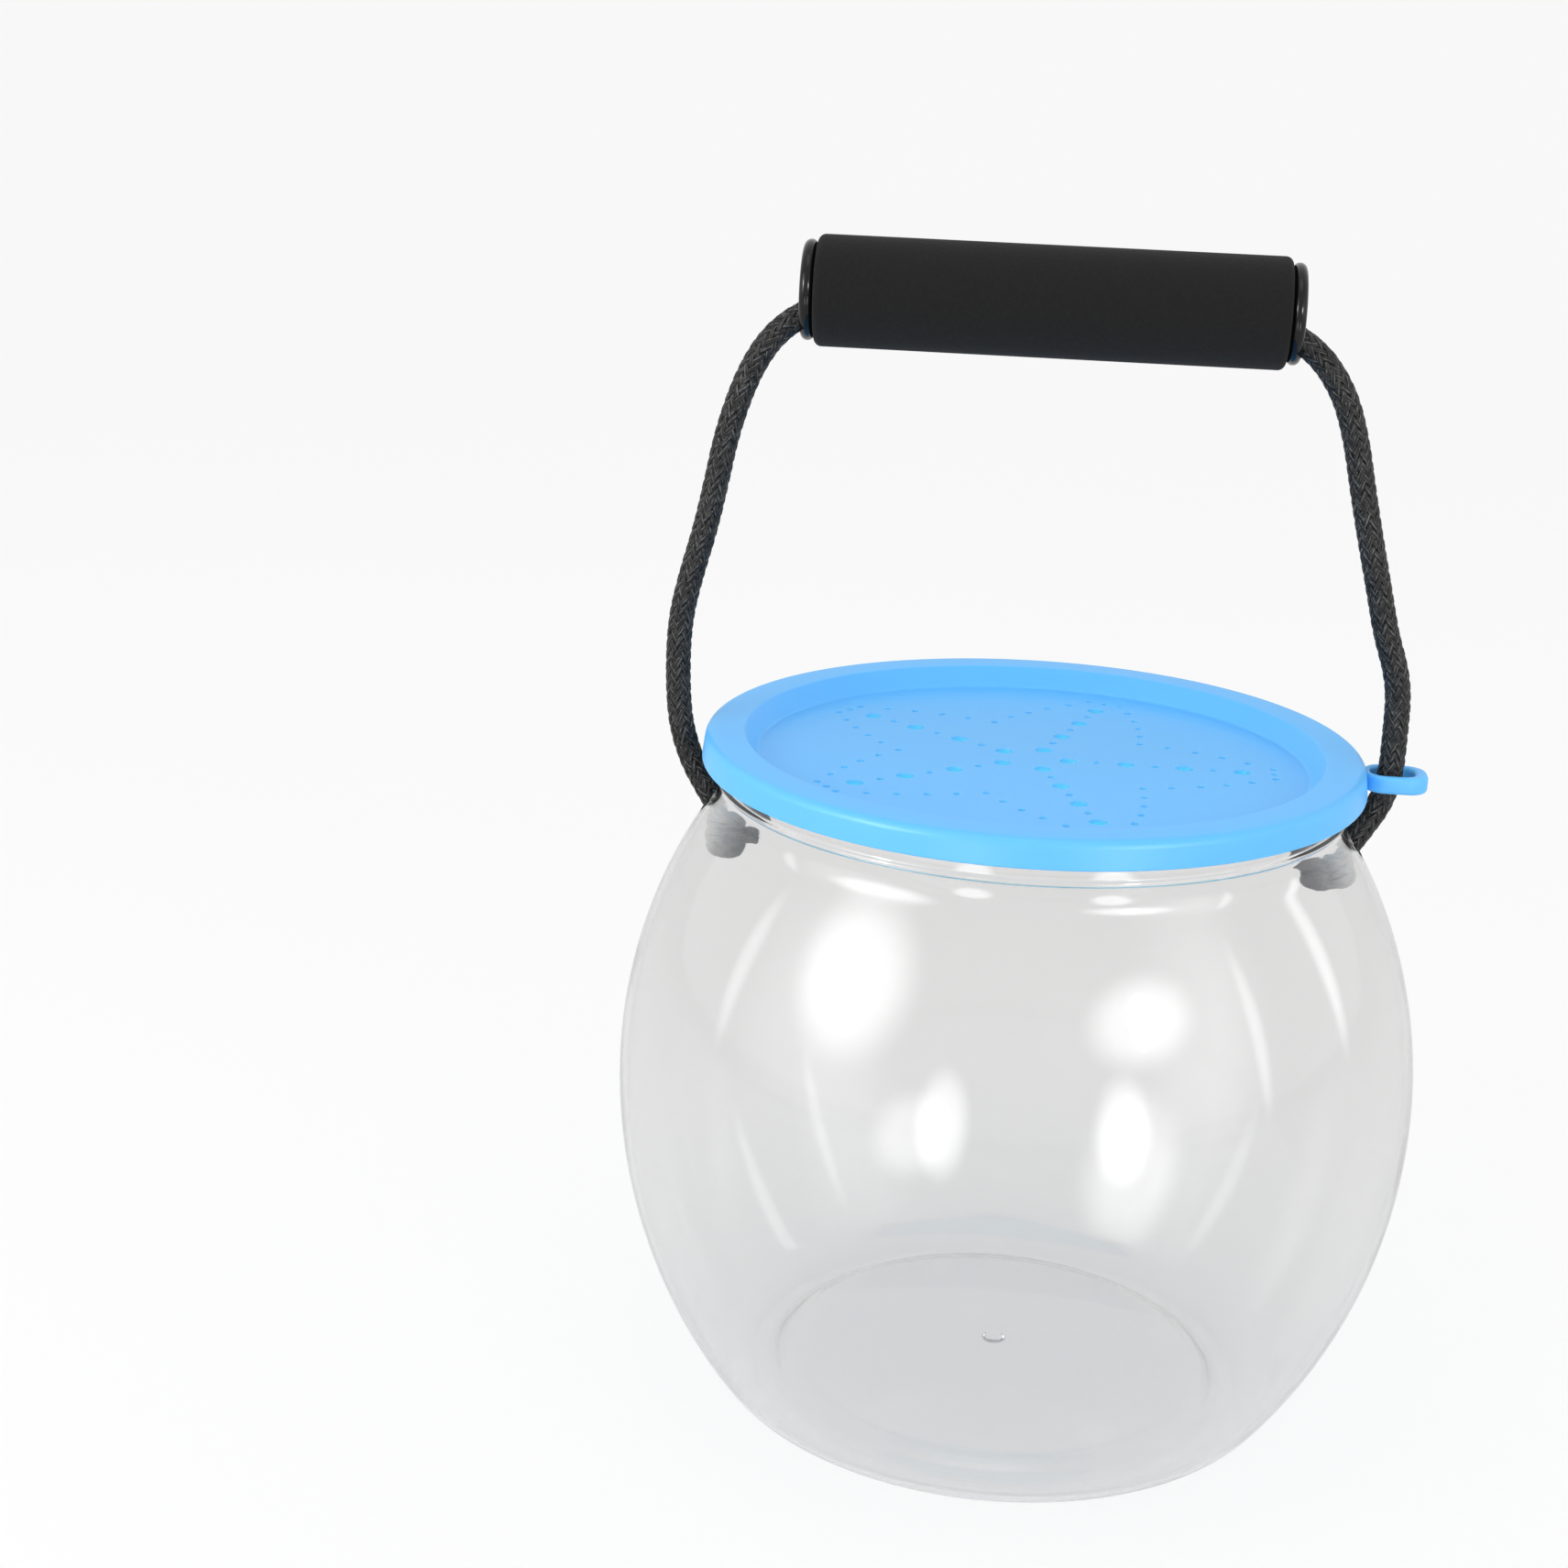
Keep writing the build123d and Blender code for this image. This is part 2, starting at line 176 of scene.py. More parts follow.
# Lamps: name, azimuth, elevation, size, strength, and distance, core and glint where given
LAMP_AIM = (0, 0, 0.1)
LAMPS = (
    ("lamp_left", -51, 24, (0.72, 0.7), 3.6),
    ("lamp_right", 37, 22, (0.6, 0.38), 3.6),
    ("glint_left", -51, 24, (0.12, 0.24), 45.0, 0.88, 0.45, True),
    ("glint_right", 37, 22, (0.12, 0.2), 45.0, 0.88, 0.45, True),
    ("lamp_low_left", -16, -0.7, (0.115, 0.2), 6.0, 0.415, 0.45, True),
    ("lamp_low_right", 28, -0.7, (0.125, 0.2), 6.0, 0.415, 0.45, True),
    ("lamp_top", -10, 78, (0.9, 0.7), 1.1, 1.0),
    ("glow_left", -60, 14, (1.2, 1.4), 1.0, 1.0, 0.0),
    ("glow_right", 58, 18, (0.9, 1.3), 1.1, 1.0, 0.0),
    ("strip_right", 72, 12, (0.09, 0.66), 1.9),
    ("strip_far_right", 104, 14, (0.12, 0.7), 1.9),
    ("strip_left", -88, 11, (0.12, 0.6), 1.5),
)


# Objects and meshes from arrays


def link_object(name, data):
    """An object with the given data, in the scene."""
    made = bpy.data.objects.new(name, data)
    bpy.context.scene.collection.objects.link(made)
    return made


def smooth_object(name, mesh, material, merge=False):
    """A smooth object with a material, its faces outward and doubles merged where asked."""
    work = bmesh.new()
    work.from_mesh(mesh)
    if merge:
        bmesh.ops.remove_doubles(work, verts=work.verts, dist=1e-7)
        bmesh.ops.dissolve_degenerate(work, edges=work.edges, dist=1e-8)
    bmesh.ops.recalc_face_normals(work, faces=work.faces)
    work.to_mesh(mesh)
    work.free()
    mesh.polygons.foreach_set("use_smooth", [True] * len(mesh.polygons))
    mesh.materials.append(material)
    return link_object(name, mesh)


def mesh_object(name, points, faces, material, sharp_angle=40.0):
    """An object at the origin from points in millimetres, its poles and seams closed."""
    mesh = bpy.data.meshes.new(name)
    mesh.from_pydata(np.asarray(points, float) * MM, [], [tuple(f) for f in faces])
    made = smooth_object(name, mesh, material, merge=True)
    mesh.set_sharp_from_angle(angle=math.radians(sharp_angle))
    return made


def grid_faces(rows, columns, close_rows=False, close_columns=False):
    """The quads of a grid of points stored row by row, closed on itself where asked."""
    last_row = rows if close_rows else rows - 1
    last_column = columns if close_columns else columns - 1
    row, column = np.meshgrid(np.arange(last_row), np.arange(last_column), indexing="ij")
    row_next, column_next = (row + 1) % rows, (column + 1) % columns
    corners = [
        row * columns + column,
        row * columns + column_next,
        row_next * columns + column_next,
        row_next * columns + column,
    ]
    return np.stack(corners, axis=-1).reshape(-1, 4)


def full_turn(count):
    """Evenly spaced angles round a full turn."""
    return np.linspace(0, 2 * math.pi, count, endpoint=False)


def around(centre, radius, a):
    """Points centre + radius * (cos a, sin a)."""
    return np.stack([centre[0] + radius * np.cos(a), centre[1] + radius * np.sin(a)], axis=1)


def arc(centre, radius, start, end, count):
    """Points centre + radius * (cos a, sin a), with a from start to end in degrees."""
    return around(centre, radius, np.radians(np.linspace(start, end, count)))


def line(start, end, count=2):
    """Evenly spaced points from start to end."""
    share = np.linspace(0.0, 1.0, count)[:, None]
    return np.asarray(start, float) * (1 - share) + np.asarray(end, float) * share


def unit(vectors):
    """Each vector at a length of one."""
    return vectors / np.linalg.norm(vectors, axis=1)[:, None]


def blend_corner(before, corner, after, radius, count=7):
    """An arc of the given radius, tangent to both runs that meet at a corner."""
    before, corner, after = (np.asarray(p, float) for p in (before, corner, after))
    a, b = unit(np.array([before - corner, after - corner]))
    half = math.acos(float(np.clip(a.dot(b), -1, 1))) / 2
    back = radius / math.tan(half)
    centre = corner + (a + b) / np.linalg.norm(a + b) * radius / math.sin(half)
    start, end = corner + a * back - centre, corner + b * back - centre
    sweep = math.acos(float(np.clip(start.dot(end) / radius**2, -1, 1)))
    share = np.linspace(0, 1, count)[:, None]
    arms = start * np.sin((1 - share) * sweep) + end * np.sin(share * sweep)
    return centre + arms / math.sin(sweep)


def profile_of(*stretches):
    """One profile from several stretches, with repeated joints dropped."""
    points = np.concatenate([np.atleast_2d(s) for s in stretches])
    step = np.linalg.norm(np.diff(points, axis=0), axis=1)
    return points[np.concatenate([[True], step > 1e-6])]


def turned(profile, turns, closed=False, centre=(0, 0)):
    """A turned surface: centre + (r cos a, r sin a), z for each profile point (r, z)."""
    a = full_turn(turns)
    radius, height = profile[:, :1], profile[:, 1:]
    x, y = centre[0] + radius * np.cos(a), centre[1] + radius * np.sin(a)
    points = np.stack([x, y, height * np.ones_like(a)], axis=-1)
    faces = grid_faces(len(profile), turns, close_rows=closed, close_columns=True)
    return points.reshape(-1, 3), faces


def tube(path, across, outward, wide, thick, sides):
    """A capped tube: path + across wide cos a + outward thick sin a, round each point."""
    a = full_turn(sides)
    points = (
        path[:, None, :]
        + across[:, None, :] * (wide * np.cos(a))[None, :, None]
        + outward[:, None, :] * (thick * np.sin(a))[None, :, None]
    )
    faces = [tuple(f) for f in grid_faces(len(path), sides, close_columns=True)]
    last = (len(path) - 1) * sides
    faces += [tuple(range(sides - 1, -1, -1)), tuple(range(last, last + sides))]
    return points.reshape(-1, 3), faces


def joined(*parts):
    """Several (points, faces) pairs as one."""
    points, faces, count = [], [], 0
    for some_points, some_faces in parts:
        points.append(some_points)
        faces.extend(tuple(int(i) + count for i in face) for face in some_faces)
        count += len(some_points)
    return np.concatenate(points), faces


# Nodes


def set_inputs(node, inputs):
    """Fills a node's inputs: links a socket, sets any other value."""
    for key, value in inputs.items():
        if isinstance(value, bpy.types.NodeSocket):
            node.id_data.links.new(value, node.inputs[key])
        else:
            node.inputs[key].default_value = value


def node_adder(tree):
    """A short way to add a node to a tree, with its inputs and settings."""

    def add(kind, inputs=None, **settings):
        node = tree.nodes.new(kind)
        for key, value in settings.items():
            setattr(node, key, value)
        set_inputs(node, inputs or {})
        return node

    return add


def number_maths(add, operation, *values):
    """The result of an operation on numbers."""
    inputs = dict(enumerate(values))
    return add("ShaderNodeMath", inputs, operation=operation).outputs["Value"]


def vector_maths(add, operation, *values):
    """The result of an operation on vectors."""
    node = add("ShaderNodeVectorMath", dict(enumerate(values)), operation=operation)
    return node.outputs["Value" if operation == "LENGTH" else "Vector"]


def map_range(add, value, source=(0.0, 1.0), target=(0.0, 1.0), curve="LINEAR"):
    """A number moved from one range to another."""
    ends = dict(zip(("From Min", "From Max", "To Min", "To Max"), (*source, *target)))
    inputs = {"Value": value, **ends}
    return add("ShaderNodeMapRange", inputs, interpolation_type=curve).outputs["Result"]


def noise(add, place, scale, detail):
    """Noise at a place, as a number."""
    inputs = {"Vector": place, "Scale": scale, "Detail": detail}
    return add("ShaderNodeTexNoise", inputs).outputs["Fac"]


def bump(add, height, strength, distance):
    """A normal bent by a height."""
    inputs = {"Height": height, "Strength": strength, "Distance": distance}
    return add("ShaderNodeBump", inputs).outputs["Normal"]


def ramp_between(add, source, low, high, low_at=0.0, high_at=1.0):
    """A colour ramp from one colour to another, driven by a number."""
    ramp = add("ShaderNodeValToRGB", {"Fac": source})
    for index, colour, position in ((0, low, low_at), (1, high, high_at)):
        ramp.color_ramp.elements[index].color = (*colour, 1)
        ramp.color_ramp.elements[index].position = position
    return ramp.outputs["Color"]


def varied(add, source, colour, spread):
    """A colour that a number turns darker or lighter by a share."""
    base = np.array(colour)
    return ramp_between(add, source, base * (1 - spread), np.minimum(base * (1 + spread), 1))


def by_ray(add, light, mirrored, seen):
    """A value that is one thing as light, another through or off the bucket, another seen."""
    path = add("ShaderNodeLightPath").outputs
    either = number_maths(add, "MAXIMUM", path["Is Glossy Ray"], path["Is Transmission Ray"])
    value = light
    for ray, level in ((either, mirrored), (path["Is Camera Ray"], seen)):
        inputs = {"Factor": ray, "A": value, "B": level}
        value = add("ShaderNodeMix", inputs).outputs["Result"]
    return value


# Materials


def new_material(name):
    """A node material, its shader and its node adder."""
    material = bpy.data.materials.new(name)
    material.use_nodes = True
    tree = material.node_tree
    return material, tree.nodes["Principled BSDF"], node_adder(tree)


def mix_surface(material, add, share, shader, other):
    """Makes the surface a mix of its shader and, by a share, another one."""
    mix = add("ShaderNodeMixShader", {0: share, 1: shader.outputs[0], 2: other.outputs[0]})
    set_inputs(material.node_tree.nodes["Material Output"], {"Surface": mix.outputs[0]})


def clear_plastic(colours):
    """Clear moulded plastic: faintly grey, with slow ripples, and letting lamp light pass."""
    material, shader, add = new_material("clear_plastic")
    place = add("ShaderNodeTexCoord").outputs["Object"]
    finish = {
        "Base Color": (*colours.clear, 1),
        "Roughness": 0.03,
        "IOR": 1.49,
        "Transmission Weight": 1.0,
        "Normal": bump(add, noise(add, place, 22.0, 2.0), 0.14, 0.0006),
    }
    set_inputs(shader, finish)
    through = add("ShaderNodeBsdfTransparent", {"Color": (0.94, 0.94, 0.94, 1)})
    path = add("ShaderNodeLightPath").outputs
    passes = number_maths(add, "MAXIMUM", path["Is Shadow Ray"], path["Is Diffuse Ray"])
    mix_surface(material, add, passes, shader, through)
    return material


def lid_plastic(colours):
    """Blue moulded plastic: satin, with a fine grain and a slight drift of colour.

    Inside the holed radius, the walls of the floor's holes and the floor's underside are painted
    paler from one depth down: a painted glow of light through the thin plastic.
    """
    material, shader, add = new_material("blue_plastic")
    place = add("ShaderNodeTexCoord").outputs["Object"]
    drift = noise(add, place, 18.0, 2.0)
    colour = varied(add, drift, colours.lid, 0.03)
    # Painted glow: within the holed radius, paler blue from one depth under the floor's top to
    # another
    away = vector_maths(add, "LENGTH", vector_maths(add, "MULTIPLY", place, (1, 1, 0)))
    within = number_maths(add, "LESS_THAN", away, HOLED_RADIUS * MM)
    height = add("ShaderNodeSeparateXYZ", {"Vector": place}).outputs["Z"]
    depth = map_range(add, height, [(FLOOR_HEIGHT - d) * MM for d in PAINTED_GLOW_DEPTHS])
    thin = number_maths(add, "MULTIPLY", within, depth)
    sockets = {0: thin, 6: colour, 7: (*colours.lid_painted_glow, 1)}
    finish = {
        "Base Color": add("ShaderNodeMix", sockets, data_type="RGBA").outputs[2],
        "Normal": bump(add, noise(add, place, 2600.0, 3.0), 0.12, 0.00005),
        "Roughness": map_range(add, drift, target=(0.36, 0.46)),
        "Subsurface Weight": 0.15,
        "Subsurface Radius": (0.4, 0.8, 1.0),
        "Subsurface Scale": 0.002,
    }
    set_inputs(shader, finish)
    return material


def foam_rubber(colours):
    """Closed-cell foam: dull even black, with fine pits."""
    material, shader, add = new_material("foam")
    place = add("ShaderNodeTexCoord").outputs["Object"]
    cells = add("ShaderNodeTexVoronoi", {"Vector": place, "Scale": 1500.0}).outputs["Distance"]
    finish = {
        "Base Color": varied(add, cells, colours.foam, 0.15),
        "Normal": bump(add, cells, 0.3, 0.0002),
        "Roughness": 0.95,
        "Specular IOR Level": 0.16,
        "Sheen Weight": 0.03,
        "Sheen Roughness": 0.6,
    }
    set_inputs(shader, finish)
    return material


def cap_plastic(colours):
    """Glossy black moulded plastic with faint scuffs."""
    material, shader, add = new_material("cap_plastic")
    place = add("ShaderNodeTexCoord").outputs["Object"]
    scuff = noise(add, place, 300.0, 5.0)
    finish = {
        "Base Color": varied(add, scuff, colours.cap, 0.2),
        "Roughness": map_range(add, scuff, target=(0.07, 0.13)),
        "Specular IOR Level": 0.26,
    }
    set_inputs(shader, finish)
    return material


def braided_cord(name, colour, fleck_and_glint, gloss, grain, reach, inward=None):
    """Braided yarn: each strand has fine filaments along it, read from its own UV map.

    U counts rope diameters along a strand, and V turns round it. Pale flecks show where a
    grain of noise is high: partly the yarn's own grey, partly painted glints on its filaments.
    Its reach is the two levels at which they begin and are full.
    Where an inward colour is given, the yarn darkens to it towards the bowl's axis and lower
    down: painted shade, against a paler outer side that is painted reflection.
    """
    material, shader, add = new_material(name)
    place = add("ShaderNodeTexCoord").outputs["Object"]
    strand = add("ShaderNodeUVMap", uv_map="strand").outputs["UV"]
    wave = {"Vector": strand, "Scale": 1.4, "Distortion": 2.5, "Detail": 2.0, "Detail Scale": 1.5}
    thread = add("ShaderNodeTexWave", wave, bands_direction="Y").outputs["Fac"]
    share = number_maths(add, "MULTIPLY", thread, noise(add, place, grain, 3.0))
    # Pale flecks: partly the yarn's own grey, partly painted glints on its filaments
    yarn = ramp_between(add, share, colour, fleck_and_glint, *reach)
    # Painted shade: darker towards the bowl's axis and lower down, palest at the outer side
    if inward is not None:
        split = add("ShaderNodeSeparateXYZ", {"Vector": place}).outputs
        away = number_maths(add, "ABSOLUTE", split["X"])
        lean = number_maths(add, "MULTIPLY_ADD", split["Z"], 0.35, away)
        outer = map_range(add, lean, (0.103, 0.1125), curve="SMOOTHSTEP")
        painted_shade = ramp_between(add, outer, inward, (1, 1, 1))
        yarn = vector_maths(add, "MULTIPLY", yarn, painted_shade)
    finish = {
        "Base Color": yarn,
        "Normal": bump(add, thread, 0.5, 0.0001),
        "Roughness": gloss,
        "Specular IOR Level": 0.3,
        "Sheen Weight": 0.02,
        "Sheen Roughness": 0.4,
    }
    set_inputs(shader, finish)
    return material


# Braid along a smooth curve


def spline_line(name, route, step):
    """Points a step apart along the smooth curve that the route controls.

    The route's points are the control points of a NURBS spline of order 3.
    """
    curve = bpy.data.curves.new(name, "CURVE")
    curve.dimensions = "3D"
    curve.resolution_u = 24
    spline = curve.splines.new("NURBS")
    spline.points.add(len(route) - 1)
    for point, place in zip(spline.points, route):
        point.co = (*place, 1.0)
    spline.order_u = 3
    spline.use_endpoint_u = True
    guide = link_object(name, curve)
    bpy.context.view_layer.update()
    depsgraph = bpy.context.evaluated_depsgraph_get()
    mesh = bpy.data.meshes.new_from_object(guide.evaluated_get(depsgraph))
    found = np.zeros(len(mesh.vertices) * 3)
    mesh.vertices.foreach_get("co", found)
    found = found.reshape(-1, 3)
    bpy.data.objects.remove(guide)
    bpy.data.meshes.remove(mesh)
    run = np.concatenate([[0], np.cumsum(np.linalg.norm(np.diff(found, axis=0), axis=1))])
    count = max(2, int(round(run[-1] / step)) + 1)
    along = np.linspace(0, run[-1], count)
    return np.stack([np.interp(along, run, found[:, k]) for k in range(3)], axis=1), along


def frames_along(centre):
    """Side and up vectors along a line.

    The side vector starts as +Y and is carried along without twist: at each point it is
    the last one less its share along the tangent.
    """
    tangent = unit(np.gradient(centre, axis=0))
    sides = np.zeros_like(tangent)
    last = np.array([0.0, 1.0, 0.0])
    for i, direction in enumerate(tangent):
        last = last - direction * last.dot(direction)
        last /= np.linalg.norm(last)
        sides[i] = last
    return sides, np.cross(tangent, sides)


def braid(centre, along, diameter, strands, lay):
    """A braid of strands, half turning each way, woven over two and under two.

    A strand's middle is at angle a = turn * 2 pi l / lay + 2 pi i / n round the line, at
    radius R + h sqrt(2) cos(pi / 2 (c + i) - pi / 4), where c counts the strands of the
    other family that it has crossed. Its section is a flat ellipse.
    """
    side, up = frames_along(centre)
    half = strands // 2
    thick, wide = diameter * STRAND_THICK / strands, diameter * STRAND_WIDE / strands
    middle = diameter / 2 - thick - diameter * STRAND_INSET
    phase = 2 * math.pi * along / lay
    u = np.repeat(along / diameter, STRAND_SIDES)
    v = np.tile(np.arange(STRAND_SIDES) / STRAND_SIDES, len(along))
    parts, uvs = [], []
    for turn in (1, -1):
        for i in range(half):
            angle = turn * phase + 2 * math.pi * i / half
            crossed = turn * half * phase / math.pi + i
            wave = np.cos(math.pi / 2 * (crossed + i) - math.pi / 4) * math.sqrt(2)
            radius = middle + turn * diameter * STRAND_LIFT * np.clip(wave, -1, 1)
            outward = side * np.cos(angle)[:, None] + up * np.sin(angle)[:, None]
            path = centre + outward * radius[:, None]
            across = unit(np.cross(unit(np.gradient(path, axis=0)), outward))
            parts.append(tube(path, across, outward, wide, thick, STRAND_SIDES))
            uvs.append(np.stack([u, v + UV_STAGGER * i], axis=1))
    core = middle * CORE_SHARE
    parts.append(tube(centre, side, up, core, core, CORE_SIDES))
    uvs.append(np.zeros((len(along) * CORE_SIDES, 2)))
    return parts, uvs


def braid_object(name, centre, along, diameter, strands, lay, material):
    """The braid as one mesh with its UV map."""
    parts, uvs = braid(centre, along, diameter, strands, lay)
    points, faces = joined(*parts)
    mesh = bpy.data.meshes.new(name)
    mesh.from_pydata(points, [], faces)
    layer = mesh.uv_layers.new(name="strand")
    corners = np.zeros(len(mesh.loops), np.int32)
    mesh.loops.foreach_get("vertex_index", corners)
    layer.data.foreach_set("uv", np.concatenate(uvs)[corners].astype(np.float32).ravel())
    return smooth_object(name, mesh, material)


# The bowl


def wall_arcs():
    """Centre radius and arc radius of the flank and of the shoulder, both upright at the bulge.

    The flank's arc touches the foot corner's circle, and the shoulder's passes the neck's foot.
    """
    out, up = BULGE_RADIUS - FOOT_OUTER_RADIUS, BULGE_HEIGHT - FOOT_CORNER
    flank = (out**2 + up**2 - FOOT_CORNER**2) / (2 * (out - FOOT_CORNER))
    out, up = BULGE_RADIUS - NECK_RADIUS, NECK_TOP - NECK_HEIGHT - BULGE_HEIGHT
    shoulder = (out**2 + up**2) / (2 * out)
    return BULGE_RADIUS - flank, flank, BULGE_RADIUS - shoulder, shoulder


def bowl_wall(inset):
    """The bowl's wall line from the axis to the neck, drawn in by the inset.

    Each arc keeps its centre. The inset is taken off its radius, or added at the neck's
    hollow foot.
    """
    flank_centre, flank, shoulder_centre, shoulder = wall_arcs()
    rise = BULGE_HEIGHT - FOOT_CORNER
    lean = math.degrees(math.atan2(-rise, FOOT_OUTER_RADIUS - flank_centre))
    foot_out = NECK_RADIUS + NECK_FOOT_ROUNDING - shoulder_centre
    foot_rise = math.sqrt((shoulder + NECK_FOOT_ROUNDING) ** 2 - foot_out**2)
    top_lean = math.degrees(math.atan2(foot_rise, foot_out))
    foot_centre = (NECK_RADIUS + NECK_FOOT_ROUNDING, BULGE_HEIGHT + foot_rise)
    edge_r, edge_z = PUSH_UP_EDGE
    dome_drop = PUSH_UP_CENTRE - edge_z
    dome_radius = (edge_r**2 + dome_drop**2) / (2 * dome_drop)
    dome_end = 90 - math.degrees(math.asin(edge_r / dome_radius))
    dome = arc((0, PUSH_UP_CENTRE - dome_radius + inset), dome_radius, 90, dome_end, 40)
    edge, foot = (edge_r, edge_z + inset), (FOOT_INNER_RADIUS, inset)
    return [
        dome[dome[:, 0] < edge_r - DOME_MARGIN],
        blend_corner(dome[-2], edge, foot, BASE_ROUNDING, 12),
        blend_corner(edge, foot, (FOOT_OUTER_RADIUS, inset), BASE_ROUNDING, 12),
        arc((FOOT_OUTER_RADIUS, FOOT_CORNER), FOOT_CORNER - inset, -90, lean, 14),
        arc((flank_centre, BULGE_HEIGHT), flank - inset, lean, 0, 40),
        arc((shoulder_centre, BULGE_HEIGHT), shoulder - inset, 0, top_lean, 40),
        arc(foot_centre, NECK_FOOT_ROUNDING + inset, 180 + top_lean, 180, 9),
    ]


def round_bead(height):
    """A low half-round bead on the neck: out by s (1 + cos a) / 2 over a run of 4 s."""
    a = np.linspace(-math.pi, math.pi, 13)
    out = BEAD_SIZE * (1 + np.cos(a)) / 2
    return np.stack([NECK_RADIUS + out, height + 2 * BEAD_SIZE * a / math.pi], axis=1)


def gate_nub():
    """The nub under the base: flat, then up by h (1 + cos a) / 2 to the dome."""
    radius = np.linspace(*NUB_RADII, 8)
    a = math.pi * (radius - NUB_RADII[0]) / (NUB_RADII[1] - NUB_RADII[0])
    side = np.stack([radius, PUSH_UP_CENTRE - NUB_HEIGHT * (1 + np.cos(a)) / 2], axis=1)
    return np.concatenate([[[0, PUSH_UP_CENTRE - NUB_HEIGHT]], side])


def make_bowl(sizes, colours):
    """The bowl's shell: its outer line up, over the mouth and down its inner line, turned."""
    outer, inner = bowl_wall(0), bowl_wall(sizes.bowl_wall)
    inside = NECK_RADIUS - sizes.bowl_wall
    bevel = MOUTH_BEVEL
    profile = profile_of(
        gate_nub(),
        outer[0][outer[0][:, 0] > NUB_RADII[1] + NUB_MARGIN],
        *outer[1:],
        *[round_bead(height) for height in BEAD_HEIGHTS],
        arc((NECK_RADIUS - bevel, NECK_TOP - bevel), bevel, 0, 90, 5),
        arc((inside + bevel, NECK_TOP - bevel), bevel, 90, 180, 5),
        *[stretch[::-1] for stretch in reversed(inner)],
    )
    points, faces = turned(profile, sizes.bowl_segments)
    bowl = mesh_object("bowl_shell", points, faces, clear_plastic(colours), 35)
    for end, before in ((0, 1), (-1, -2)):
        drill_hole(bowl, ROPE_ROUTE[end], ROPE_ROUTE[before], sizes.rope_hole)
    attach(bowl, "bowl")
    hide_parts("bowl")


def drill_hole(obj, end, before, diameter):
    """A round hole through a wall, along the line between two points of the rope's route."""
    ends = np.array([(x, 0, z) for x, z in (before, end)])
    way = unit(np.diff(ends, axis=0))
    side = np.array([[0.0, 1.0, 0.0]])
    path = ends.mean(axis=0) + way * np.array([[-DRILL_REACH], [DRILL_REACH]])
    radius = diameter / 2
    points, faces = tube(path, side, np.cross(way, side), radius, radius, DRILL_SIDES)
    drill = mesh_object("drill", points, faces, obj.data.materials[0])
    cut = obj.modifiers.new("rope_hole", "BOOLEAN")
    cut.operation = "DIFFERENCE"
    cut.solver = "EXACT"
    cut.object = drill
    bpy.context.view_layer.update()
    depsgraph = bpy.context.evaluated_depsgraph_get()
    mesh = bpy.data.meshes.new_from_object(obj.evaluated_get(depsgraph))
    obj.modifiers.remove(cut)
    obj.data = mesh
    mesh.set_sharp_from_angle(angle=math.radians(35))
    bpy.data.objects.remove(drill)


# The lid


def star_holes(sizes):
    """Hole centres and radii: vents and dots along five arms, and the dotted outline.

    An arm's side runs from its tip's corner to the notch between arms, bowed outwards by
    b sin(pi s); the arms repeat it every 72 degrees, and mirrored.
    """
    turn = 2 * math.pi / 5
    first, pitch, vent, dot = sizes.vent_first, sizes.vent_pitch, sizes.vent / 2, sizes.dot / 2
    places = [(first + pitch * k, 0.0, vent) for k in range(4)]
    places += [(first + pitch * (k + 0.5), 0.0, dot) for k in range(3)]
    places.append((sizes.star_tip, 0.0, dot))
    tip = np.array([sizes.star_tip, STAR_TIP_HALF])
    along = STAR_NOTCH * np.array([math.cos(turn / 2), math.sin(turn / 2)]) - tip
    out = np.array([along[1], -along[0]]) / np.linalg.norm(along)
    for k in range(6):
        share = k / 5
        x, y = tip + along * share + out * STAR_BOW * math.sin(math.pi * share)
        places.append((x, y, dot))
        if k < 5:
            places.append((x, -y, dot))
    x, y, r = np.array(places).T
    found = []
    for arm in range(5):
        c, s = math.cos(turn * arm), math.sin(turn * arm)
        found.append(np.stack([x * c - y * s, x * s + y * c, r], axis=1))
    return np.concatenate(found)


def hole_sides(radius):
    """The sides of a round hole: fewer for a small one."""
    return 28 if radius > 1 else 16


def holed_disc(turns, holes, height):
    """A flat disc with round holes, as triangles between its rim and the holes' edges."""
    rings = [around((0, 0), HOLED_RADIUS, full_turn(turns))]
    rings += [around((x, y), r, full_turn(hole_sides(r))) for x, y, r in holes]
    edges, first = [], 0
    for ring in rings:
        n = len(ring)
        edges += [(first + k, first + (k + 1) % n) for k in range(n)]
        first += n
    flat = [Vector(p) for p in np.concatenate(rings)]
    found = geometry.delaunay_2d_cdt(flat, edges, [], 0, 1e-7)
    points = np.array([(p.x, p.y, height) for p in found[0]])
    faces = np.array([f for f in found[2] if len(f) == 3])
    middle = points[faces].mean(axis=1)[:, :2]
    away = np.linalg.norm(middle[:, None, :] - holes[None, :, :2], axis=2)
    inside = np.linalg.norm(middle, axis=1) < HOLED_RADIUS
    keep = (away > holes[None, :, 2]).all(axis=1) & inside
    return points, [tuple(f) for f in faces[keep]]


def hole_walls(holes, top, bottom):
    """The walls of round holes, with a small round edge at the top."""
    parts = []
    for x, y, r in holes:
        edge = arc((r + HOLE_EDGE, top - HOLE_EDGE), HOLE_EDGE, 90, 180, 4)
        profile = np.concatenate([edge, [(r, bottom)]])
        parts.append(turned(profile, hole_sides(r), centre=(x, y)))
    return parts


